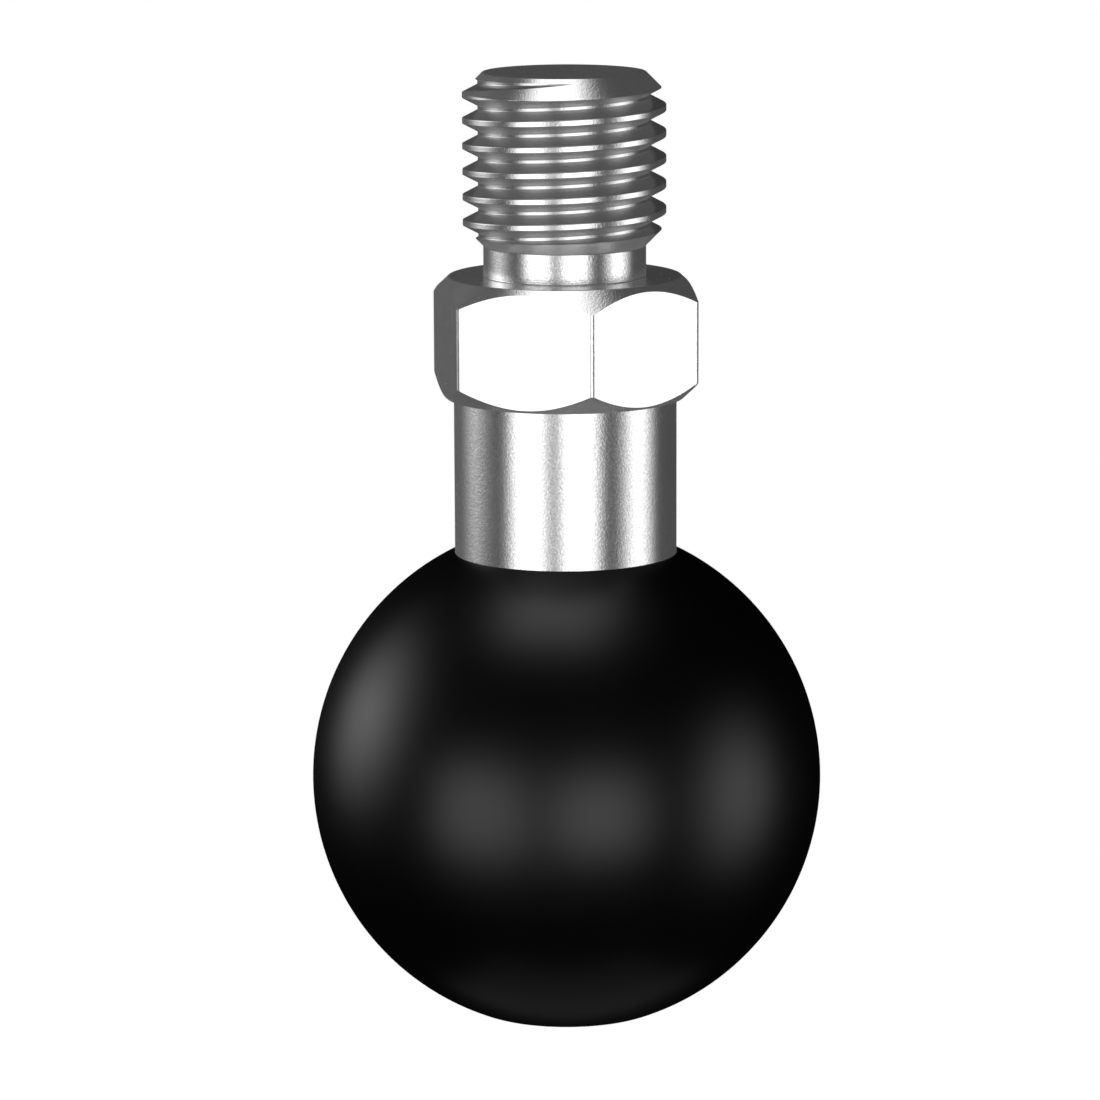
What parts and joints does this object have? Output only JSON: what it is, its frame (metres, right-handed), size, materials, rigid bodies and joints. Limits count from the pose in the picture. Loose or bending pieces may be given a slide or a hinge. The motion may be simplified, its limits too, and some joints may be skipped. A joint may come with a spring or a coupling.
{
  "type": "threaded ball adapter",
  "caption": "Steel stud with a male thread, a relief neck, a hexagon and a round shank, and a black rubber ball moulded on its lower end for a ball socket.",
  "frame": {"origin": "centre of the flat at the bottom of the ball, which the part stands on", "axes": "+Z along the stud, from the ball to the tip of the thread; two sides of the hexagon face +Y and -Y, and two of its corners point to +X and -X"},
  "size_m": [0.0254, 0.0254, 0.047],
  "materials": {
    "turned_steel": "bare turned steel, smooth, with fine turning marks",
    "black_rubber": "moulded, smooth satin"
  },
  "bodies": {
    "root": {"threaded_stud": "turned_steel", "rubber_ball": "black_rubber"}
  },
  "joints": []
}
